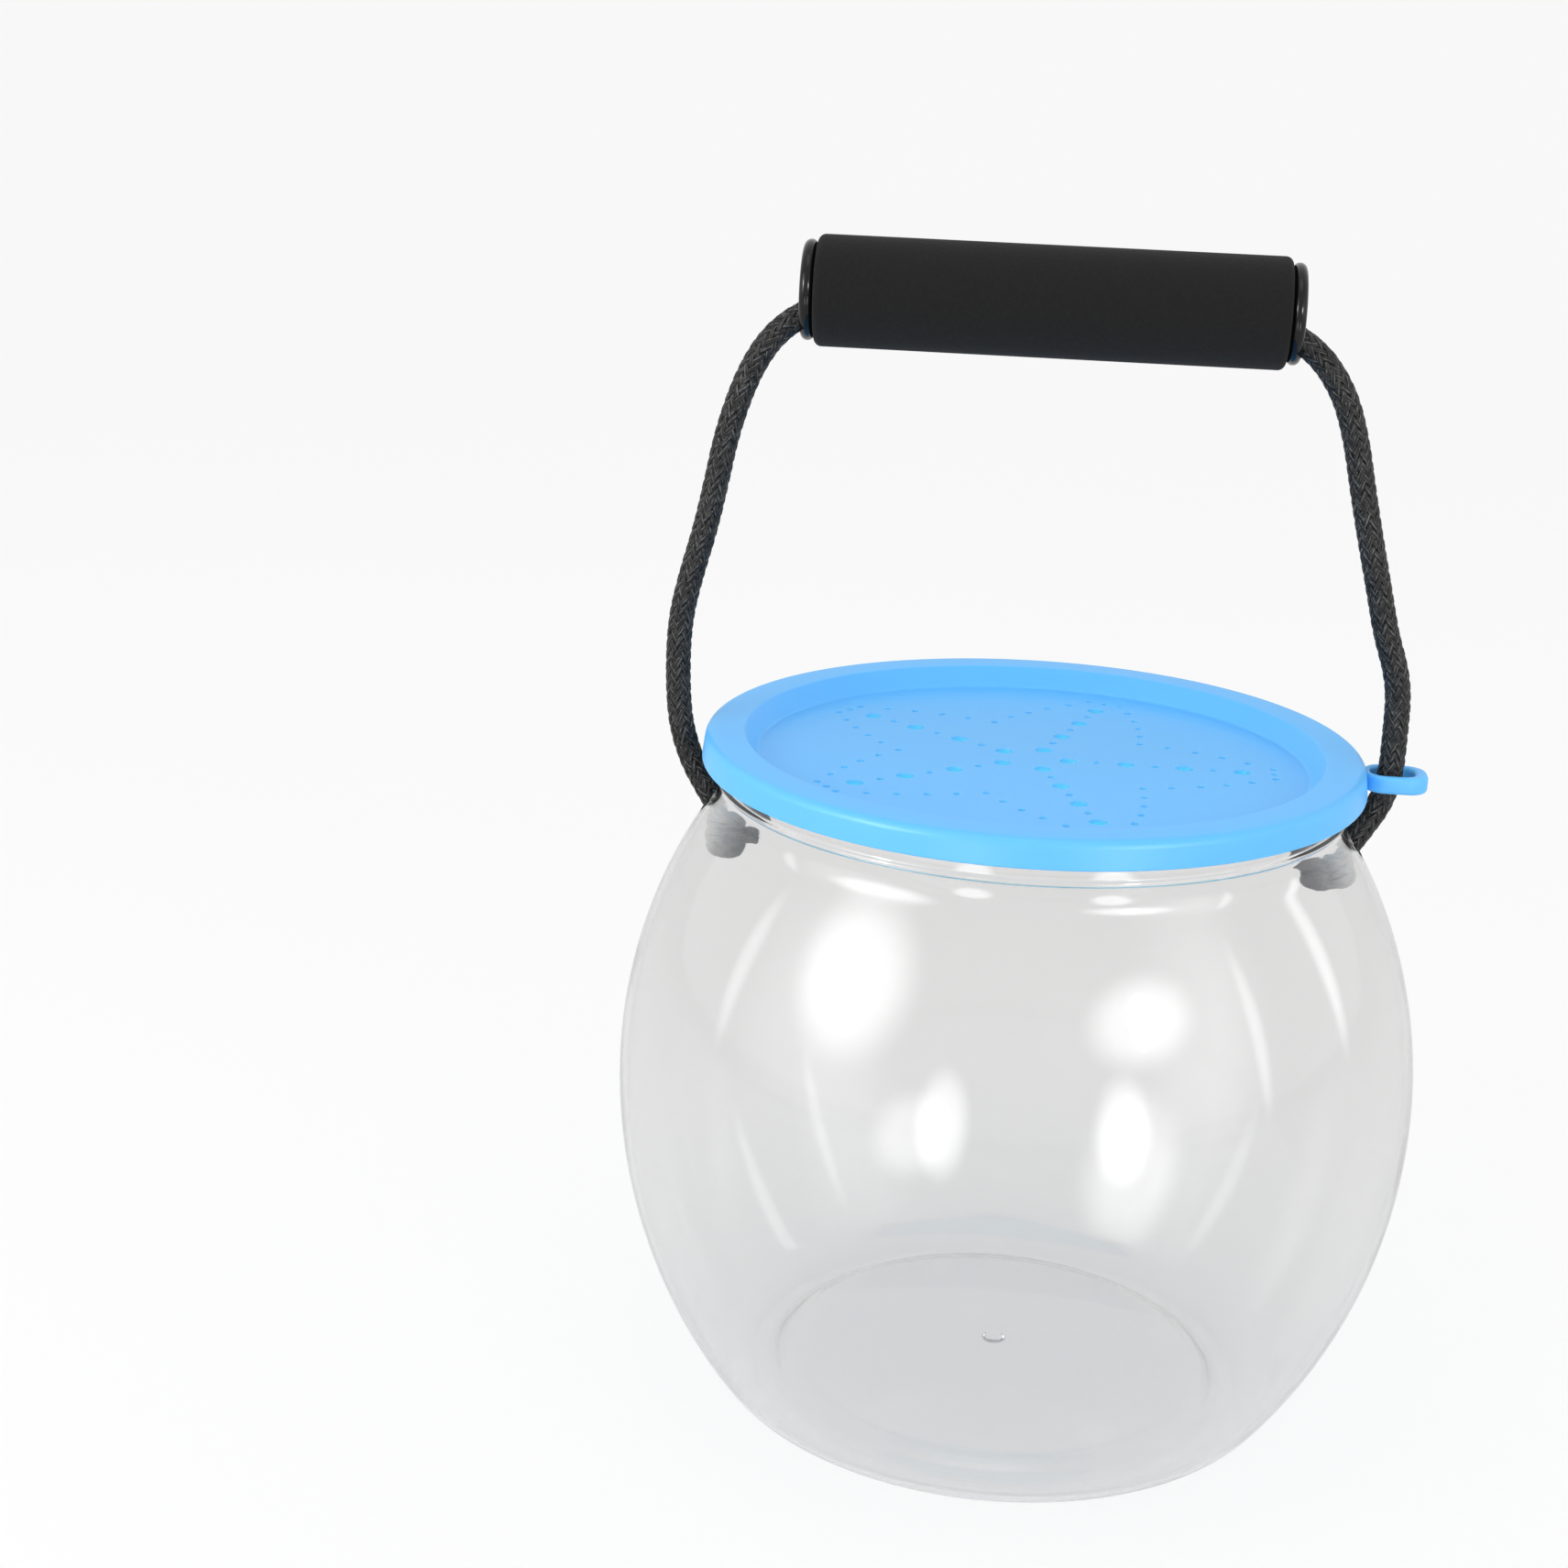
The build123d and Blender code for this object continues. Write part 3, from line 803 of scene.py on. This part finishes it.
def rounded_slot(x0, x1, half_width, corner, count=9, runs=6):
    """Points and outward directions round a rectangle with round corners."""
    centres = (
        (x1 - corner, half_width - corner, 0),
        (x0 + corner, half_width - corner, 90),
        (x0 + corner, corner - half_width, 180),
        (x1 - corner, corner - half_width, 270),
    )
    ways = np.concatenate([arc((0, 0), 1.0, s, s + 90, count) for _, _, s in centres])
    points = np.repeat([centre[:2] for centre in centres], count, axis=0) + corner * ways
    filled, outward = [], []
    for k, here in enumerate(points):
        there = points[(k + 1) % len(points)]
        steps = runs if (k + 1) % count == 0 else 1
        share = np.arange(steps)[:, None] / steps
        filled.append(here * (1 - share) + there * share)
        outward.append(np.repeat(ways[k : k + 1], steps, axis=0))
    return np.concatenate(filled), np.concatenate(outward)


def tab_part():
    """The rope tab: a plate with round edges and a slot, as one closed grid.

    Each ring of the grid is the outline moved in by e (1 - sin t) at height e sin t below or
    above a face; the slot's rings are the slot's line moved outwards in the same way.
    """
    outer, outer_way = rounded_slot(*TAB_OUTLINE)
    slot, slot_way = rounded_slot(*TAB_SLOT)
    e = TAB_EDGE
    t = np.radians(np.linspace(90, 0, 6))
    upper = TAB_TOP - e + np.sin(t) * e
    lower = TAB_TOP - TAB_THICKNESS + e - np.sin(t[::-1]) * e
    heights = np.concatenate([upper, lower])
    moves = np.concatenate([e * (1 - np.cos(t)), e * (1 - np.cos(t[::-1]))])
    outside = outer[None] - outer_way[None] * moves[:, None, None]
    inside = slot[None] + slot_way[None] * moves[::-1, None, None]
    flat = np.concatenate([outside, inside])
    z = np.concatenate([heights, heights[::-1]])
    z = np.broadcast_to(z[:, None, None], flat.shape[:2] + (1,))
    points = np.concatenate([flat, z], axis=-1)
    faces = grid_faces(len(points), len(outer), close_rows=True, close_columns=True)
    return points.reshape(-1, 3), faces


def read_values(items, name, width, kind):
    """One value of every item of a mesh's collection, as an array."""
    values = np.zeros(len(items) * width, kind)
    items.foreach_get(name, values)
    return values


def crisp_level_faces(mesh, radius):
    """Marks sharp the edges inside a radius where a level face meets one that isn't level.

    A level face then shades flat, with no streaks between the holes in it.
    """
    upright = np.abs(read_values(mesh.polygons, "normal", 3, np.float32)[2::3])
    corners = read_values(mesh.polygons, "loop_total", 1, np.int32)
    edges = read_values(mesh.loops, "edge_index", 1, np.int32)
    level_sides = np.bincount(edges, (upright > 0.9999).repeat(corners), len(mesh.edges))
    starts = read_values(mesh.edges, "vertices", 2, np.int32)[::2]
    places = read_values(mesh.vertices, "co", 3, np.float32).reshape(-1, 3)
    away = np.linalg.norm(places[starts, :2], axis=1)
    sharp = read_values(mesh.edges, "use_edge_sharp", 1, bool)
    sharp |= (level_sides == 1) & (away < radius * MM)
    mesh.edges.foreach_set("use_edge_sharp", sharp)


def lid_profile():
    """The lid's line (r, z) from the pierced floor over the rim, down the skirt and back."""
    inner = SKIRT_RADIUS - LID_WALL
    floor, foot = (FLOOR_RADIUS, FLOOR_HEIGHT), (SKIRT_RADIUS, LID_BOTTOM)
    rim_inner, rim_outer = (RIM_FLAT_INNER, LID_TOP), (RIM_RADIUS, LID_TOP)
    rim_centre = (RIM_RADIUS - RIM_ROUNDING, LID_TOP - RIM_ROUNDING)
    return profile_of(
        line((HOLED_RADIUS, FLOOR_HEIGHT), (FLOOR_RADIUS - FLOOR_ROUNDING, FLOOR_HEIGHT)),
        blend_corner((HOLED_RADIUS, FLOOR_HEIGHT), floor, rim_inner, FLOOR_ROUNDING),
        blend_corner(floor, rim_inner, rim_outer, RECESS_ROUNDING),
        arc(rim_centre, RIM_ROUNDING, 90, 0, 10),
        blend_corner((RIM_RADIUS, rim_centre[1]), foot, (inner, LID_BOTTOM), SKIRT_ROUNDING),
        (inner + BEAD_FOOT, LID_BOTTOM),
        arc((inner, LID_BOTTOM + LID_BEAD), LID_BEAD, 250, 90, 9),
        (inner - SKIRT_DRAFT, LID_TOP - LID_WALL),
        (RIM_FLAT_INNER + LID_WALL, LID_TOP - LID_WALL),
        (FLOOR_RADIUS + LID_WALL, FLOOR_HEIGHT - LID_WALL),
        (HOLED_RADIUS, FLOOR_HEIGHT - LID_WALL),
    )


def make_lid(sizes, colours):
    """The lid: a turned rim, recess and skirt, a pierced floor, and the tab."""
    turns = sizes.lid_segments
    holes = star_holes(sizes)
    under = FLOOR_HEIGHT - LID_WALL
    points, faces = joined(
        turned(lid_profile(), turns),
        holed_disc(turns, holes + np.array([0, 0, HOLE_EDGE]), FLOOR_HEIGHT),
        holed_disc(turns, holes, under),
        *hole_walls(holes, FLOOR_HEIGHT, under),
        tab_part(),
    )
    lid = mesh_object("lid_moulding", points, faces, lid_plastic(colours), 38)
    crisp_level_faces(lid.data, HOLED_RADIUS - 0.1)
    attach(lid, "lid")
    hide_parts("lid")


# The grip


def turned_on_grip(name, profile, turns, material):
    """A piece turned on the grip's axis, from a closed profile of (radius, x)."""
    points, faces = turned(profile, turns, closed=True)
    points = np.stack([points[:, 2], points[:, 0], points[:, 1] + GRIP_HEIGHT], axis=1)
    return mesh_object(name, points, faces, material, 45)


def make_foam(sizes, colours):
    """The foam sleeve, with softly rounded ends."""
    left, right = FOAM_ENDS
    bore, outer = FOAM_RADII
    r, s = sizes.foam_rounding, FOAM_BORE_ROUNDING
    profile = profile_of(
        arc((outer - r, left + r), r, -90, 0, 10),
        line((outer, left + r), (outer, right - r), 40),
        arc((outer - r, right - r), r, 0, 90, 10),
        arc((bore + s, right - s), s, 90, 180, 4),
        arc((bore + s, left + s), s, 180, 270, 4),
    )
    foam = turned_on_grip("grip_sleeve", profile, 128, foam_rubber(colours))
    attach(foam, "grip")
    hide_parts("grip_foam")


def cap_profile(outer_face, inward):
    """A cap's closed profile of (radius, x): a flared bore, a round flange and the spigot."""
    half = CAP_FLANGE / 2
    flange = arc((CAP_RADIUS - half, half), half, 272, 450, 24)
    radius, depth = np.concatenate([CAP_BORE, flange, CAP_SPIGOT]).T
    return np.stack([radius, outer_face + inward * depth], axis=1)


def make_caps(colours):
    """The two end caps, and their material."""
    material = cap_plastic(colours)
    for side, outer_face, inward in (
        ("left", FOAM_ENDS[0] - CAP_FLANGE, 1),
        ("right", FOAM_ENDS[1] + CAP_FLANGE, -1),
    ):
        cap = turned_on_grip(f"cap_{side}", cap_profile(outer_face, inward), 96, material)
        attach(cap, "grip")
        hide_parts(f"end_cap_{side}")
    return material


# The rope and its knots


def make_rope(sizes, colours):
    """One rope from knot to knot, as one fixed mesh along a smooth curve, and its two knots."""
    route = [(x * MM, 0.0, z * MM) for x, z in ROPE_ROUTE]
    centre, along = spline_line("rope_line", route, ROPE_STEP)
    diameter = sizes.rope * MM
    cord = braided_cord("rope_yarn", colours.rope, colours.rope_fleck_and_glint, 0.5, 900.0, (0.34, 0.62))
    drawn, lay = diameter * sizes.rope_drawn, sizes.rope_lay * MM
    rope = braid_object("rope", centre, along, drawn, ROPE_STRANDS, lay, cord)
    # The knots are the same black rope, painted pale grey as a painted reflection of the clear wall
    # over them, with painted shade on their inner side
    knot_painted_reflections = colours.knot, colours.knot_painted_reflection_fleck
    yarn = braided_cord("knot_yarn_painted_reflection", *knot_painted_reflections, 0.6, 700.0, (0.2, 0.75), colours.knot_painted_shade)
    for side, places in zip(("left", "right"), knot_lines()):
        middle, run = spline_line(f"knot_line_{side}", places.tolist(), KNOT_STEP)
        size = sizes.knot_strand * MM, KNOT_STRANDS, KNOT_LAY
        knot = braid_object(f"knot_{side}_tied", middle, run, *size, yarn)
        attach(knot, "bowl")
        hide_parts(f"knot_{side}")
    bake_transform(rope)
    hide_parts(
        "rope_lower_left",
        "rope_upper_left",
        "rope_in_grip",
        "rope_upper_right",
        "rope_lower_right",
    )


def turns_of(start, turns, *stations):
    """Points of a winding, eight to a turn, past evenly spaced stations (x, z, radius).

    Each point is the middle (x, 0, z) plus radius * (cos a, sin a) in plan, with a from the
    start angle in degrees through the given turns.
    """
    count = int(round(abs(turns) * 8)) + 1
    a = np.radians(start + np.linspace(0, 360 * turns, count))
    share = np.linspace(0, len(stations) - 1, count)
    x, z, radius = (np.interp(share, range(len(stations)), v) for v in zip(*stations))
    return np.stack([x + radius * np.cos(a), radius * np.sin(a), z], axis=1)


def knot_lines():
    """The line of each tied knot, from the rope's end to the tail, in metres."""
    upper_left = ((-64.0, 127.3, 1.9), (-64.6, 125.4, 2.4), (-64.9, 123.0, 2.6))
    lower_left = ((-64.9, 120.4, 2.4), (-64.8, 119.5, 2.0))
    left = (
        [(-67.1, 0, 129.2), (-66.6, 0.2, 128.4)],
        turns_of(180, 3.5, *upper_left, *lower_left),
        [(-62.4, 1.6, 121.6), (-60.6, 0.8, 123.2), (-58.2, 0.2, 123.3)],
    )
    right = (
        [(67.3, 0, 128.8), (66.8, 0.2, 128.0)],
        turns_of(0, -2.5, (64.6, 126.9, 1.5), (66.0, 124.4, 1.5), (66.6, 121.7, 1.5)),
        turns_of(0, -2.25, (61.6, 121.1, 1.5), (61.4, 123.0, 1.7), (61.4, 124.8, 1.3)),
        [(59.6, -0.4, 126.2), (56.8, 0, 126.9)],
    )
    return np.concatenate(left) * MM, np.concatenate(right) * MM


# Camera, lamps and floor


def make_camera():
    """The camera at the photograph's place and angle."""
    camera = bpy.data.cameras.new("camera")
    camera.sensor_fit = "HORIZONTAL"
    camera.sensor_width = SENSOR
    camera.lens = FOCAL_LENGTH / IMAGE_SIZE * SENSOR
    camera.clip_start = 0.01
    camera.clip_end = 50.0
    holder = link_object("camera", camera)
    yaw, pitch, roll = CAMERA_TURN
    forward = Vector(
        (-math.sin(yaw) * math.cos(pitch), math.cos(yaw) * math.cos(pitch), math.sin(pitch))
    )
    level = Vector((math.cos(yaw), math.sin(yaw), 0))
    upright = level.cross(forward)
    right = level * math.cos(roll) + upright * math.sin(roll)
    up = upright * math.cos(roll) - level * math.sin(roll)
    turn = Matrix((right, up, -forward)).transposed().to_4x4()
    holder.matrix_world = Matrix.Translation(CAMERA_PLACE) @ turn
    bpy.context.scene.camera = holder


def add_lamp(name, azimuth, elevation, size, strength, distance=0.9, core=0.35, glint=False):
    """A soft oval lamp that faces the bucket, at an azimuth from the front.

    Its glow is full inside the core's share of its radius and fades smoothly to its rim.
    The strength is its radiance there. A glint lamp only shines in outer reflections.
    """
    lamp = bpy.data.lights.new(name, "AREA")
    lamp.shape = "ELLIPSE"
    lamp.size, lamp.size_y = size
    lamp.energy = size[0] * size[1] * math.pi**2 / 4
    lamp.use_nodes = True
    add = node_adder(lamp.node_tree)
    place = add("ShaderNodeNewGeometry").outputs["Parametric"]
    centred = vector_maths(add, "MULTIPLY_ADD", place, (2, 2, 0), (-1, -1, 0))
    reach = vector_maths(add, "LENGTH", centred)
    fade = map_range(add, reach, (core, 1.0), (strength, 0.0), "SMOOTHSTEP")
    set_inputs(lamp.node_tree.nodes["Emission"], {"Strength": fade})
    holder = link_object(name, lamp)
    holder.visible_diffuse = holder.visible_transmission = not glint
    a, e = math.radians(azimuth), math.radians(elevation)
    way = Vector((math.sin(a) * math.cos(e), -math.cos(a) * math.cos(e), math.sin(e)))
    holder.location = Vector(LAMP_AIM) + way * distance
    holder.rotation_euler = way.to_track_quat("Z", "Y").to_euler()


def make_floor(sizes):
    """A pale floor that curves up behind: one line (y, z) across."""
    front, back = FLOOR_DEPTH
    radius, sweep = FLOOR_RISE
    rise = profile_of(
        line((front, 0.0), (back, 0.0), 12),
        arc((back, radius), radius, -90, math.degrees(sweep) - 90, 14),
    )
    across = np.linspace(-FLOOR_HALF, FLOOR_HALF, 9)
    y, z = np.repeat(rise, len(across), axis=0).T
    points = np.stack([np.tile(across, len(rise)), y, z], axis=1)
    material, shader, add = new_material("pale_floor")
    finish = {"Base Color": (0.82, 0.82, 0.82, 1), "Roughness": 0.8, "Specular IOR Level": 0.1}
    set_inputs(shader, finish)
    share = by_ray(add, 0.0, sizes.floor_through, sizes.floor_glow)
    mix_surface(material, add, share, shader, add("ShaderNodeEmission"))
    floor = mesh_object("floor", points / MM, grid_faces(len(rise), len(across)), material)
    floor.data.flip_normals()


def make_stage(sizes):
    """The floor, a pale world and soft lamps."""
    scene = bpy.context.scene
    scene.view_settings.view_transform = "Standard"
    world = bpy.data.worlds.new("pale_world")
    scene.world = world
    world.use_nodes = True
    strength = by_ray(node_adder(world.node_tree), sizes.ambient, 1.0, 1.0)
    background = world.node_tree.nodes["Background"]
    set_inputs(background, {"Color": (1, 1, 1, 1), "Strength": strength})
    make_floor(sizes)
    for lamp in LAMPS:
        add_lamp(*lamp)


# The add-on


def size_property(name, description, default, **limits):
    """A number's property, with its limits where it has any."""
    return bpy.props.FloatProperty(name=name, description=description, default=default, **limits)


def colour_property(name, description, default):
    """A colour property with three linear channels."""
    return bpy.props.FloatVectorProperty(
        name=name, description=description, default=default, subtype="COLOR", size=3, min=0, max=1
    )


class BucketSizes(bpy.types.PropertyGroup):
    """Sizes in millimetres that may be changed, and the stage's levels."""

    bowl_wall: size_property("Bowl wall", "Thickness of the clear wall, in mm", 1.6, min=0.5)
    bowl_segments: bpy.props.IntProperty(
        name="Bowl segments", description="Faces round the bowl", default=192, min=24
    )
    rope_hole: size_property("Rope hole", "Diameter of the shoulder holes, in mm", 7.6)
    lid_segments: bpy.props.IntProperty(
        name="Lid segments", description="Faces round the lid", default=192, min=24
    )
    vent: size_property("Vent", "Diameter of the larger lid holes, in mm", 3.5)
    dot: size_property("Dot", "Diameter of the smaller lid holes, in mm", 1.5)
    vent_first: size_property("First vent", "Radius of the first vent of an arm, in mm", 7.6)
    vent_pitch: size_property("Vent pitch", "Distance between an arm's vents, in mm", 12.2)
    star_tip: size_property("Star tip", "Radius of the star's tips, in mm", 51.0)
    rope: size_property("Rope", "Diameter of the rope, in mm", 6.0, min=1.0)
    rope_drawn: size_property("Rope drawn", "Share of its diameter the taut rope keeps", 0.93)
    rope_lay: size_property("Rope lay", "Length of one turn of a strand, in mm", 28.0)
    knot_strand: size_property("Knot rope", "Diameter of the rope drawn tight, in mm", 4.6)
    foam_rounding: size_property("Foam rounding", "Radius of the foam's end edges, in mm", 1.5)
    ambient: size_property("Ambient", "Strength of the world as a light", 0.82, min=0.0)
    floor_glow: size_property(
        "Floor white", "Share of the floor that reads as plain white", 0.8, min=0.0, max=1.0
    )
    floor_through: size_property(
        "Floor white inside", "The same share seen through or in the bowl", 0.42, min=0.0, max=1.0
    )


class BucketColours(bpy.types.PropertyGroup):
    """Colours of each finish, as linear values."""

    clear: colour_property("Clear", "Tint of the clear plastic", (0.888, 0.886, 0.884))
    lid: colour_property("Lid", "Blue of the lid", (0.105, 0.485, 0.98))
    # Painted glow: the paler blue painted into the holes' walls and the floor's underside
    lid_painted_glow: colour_property("Lid thin", "Paler blue inside the holes", (0.1, 0.67, 0.97))
    foam: colour_property("Foam", "Black of the foam", (0.0085, 0.0085, 0.0085))
    cap: colour_property("Cap", "Black of the end caps", (0.005, 0.005, 0.005))
    rope: colour_property("Rope", "Shade between the rope's filaments", (0.003, 0.003, 0.003))
    # Rope flecks: the yarn's own grey flecks together with painted glints on its filaments
    rope_fleck_and_glint: colour_property("Rope fleck", "Lit filaments of the rope", (0.11, 0.107, 0.102))
    # The knots' colours are painted reflection, and their inward colour is painted shade
    knot: colour_property("Knot", "Shade between the knot's filaments", (0.42, 0.42, 0.42))
    knot_painted_reflection_fleck: colour_property("Knot fleck", "Lit filaments of the knots", (0.62, 0.62, 0.62))
    knot_painted_shade: colour_property("Knot inward", "Shade of their inner side", (0.14, 0.14, 0.15))


class BUCKET_OT_camera(bpy.types.Operator):
    """Set up the camera"""

    bl_idname = "bucket.camera"
    bl_label = "Camera"

    def execute(self, context):
        make_camera()
        return {"FINISHED"}


class BUCKET_OT_rope(bpy.types.Operator):
    """Build the braided rope and its two knots"""

    bl_idname = "bucket.rope"
    bl_label = "Rope and Knots"

    def execute(self, context):
        make_rope(context.scene.bucket_sizes, context.scene.bucket_colours)
        return {"FINISHED"}


class BUCKET_OT_bowl(bpy.types.Operator):
    """Build the clear bowl"""

    bl_idname = "bucket.bowl"
    bl_label = "Bowl"

    def execute(self, context):
        make_bowl(context.scene.bucket_sizes, context.scene.bucket_colours)
        return {"FINISHED"}


class BUCKET_OT_lid(bpy.types.Operator):
    """Build the pierced lid with its tab"""

    bl_idname = "bucket.lid"
    bl_label = "Lid"

    def execute(self, context):
        make_lid(context.scene.bucket_sizes, context.scene.bucket_colours)
        return {"FINISHED"}


class BUCKET_OT_grip(bpy.types.Operator):
    """Build the foam grip and its end caps, and finish the core"""

    bl_idname = "bucket.grip"
    bl_label = "Grip"

    def execute(self, context):
        colours = context.scene.bucket_colours
        make_foam(context.scene.bucket_sizes, colours)
        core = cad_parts["grip_core"]
        core.data.materials.clear()
        core.data.materials.append(make_caps(colours))
        return {"FINISHED"}


class BUCKET_OT_stage(bpy.types.Operator):
    """Set up the floor, the world and the lamps"""

    bl_idname = "bucket.stage"
    bl_label = "Stage"

    def execute(self, context):
        make_stage(context.scene.bucket_sizes)
        return {"FINISHED"}


OPERATORS = (
    BUCKET_OT_camera,
    BUCKET_OT_rope,
    BUCKET_OT_bowl,
    BUCKET_OT_lid,
    BUCKET_OT_grip,
    BUCKET_OT_stage,
)


class BUCKET_PT_panel(bpy.types.Panel):
    """Sizes, colours and steps of the bucket"""

    bl_idname = "BUCKET_PT_panel"
    bl_label = "Beach Bucket"
    bl_space_type = "VIEW_3D"
    bl_region_type = "UI"
    bl_category = "Bucket"

    def draw(self, context):
        layout = self.layout
        for group in (context.scene.bucket_sizes, context.scene.bucket_colours):
            box = layout.box()
            for name in group.bl_rna.properties.keys():
                if name not in ("rna_type", "name"):
                    box.prop(group, name)
        for operator in OPERATORS:
            layout.operator(operator.bl_idname)


CLASSES = (BucketSizes, BucketColours, *OPERATORS, BUCKET_PT_panel)


def register():
    """Registers the classes and the scene's properties."""
    for cls in CLASSES:
        bpy.utils.register_class(cls)
    bpy.types.Scene.bucket_sizes = bpy.props.PointerProperty(type=BucketSizes)
    bpy.types.Scene.bucket_colours = bpy.props.PointerProperty(type=BucketColours)


def unregister():
    """Removes the scene's properties and the classes."""
    del bpy.types.Scene.bucket_sizes
    del bpy.types.Scene.bucket_colours
    for cls in reversed(CLASSES):
        bpy.utils.unregister_class(cls)


def main():
    """Registers the add-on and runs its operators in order."""
    register()
    for operator in OPERATORS:
        group, step = operator.bl_idname.split(".")
        getattr(getattr(bpy.ops, group), step)()


if __name__ == "__main__":
    main()
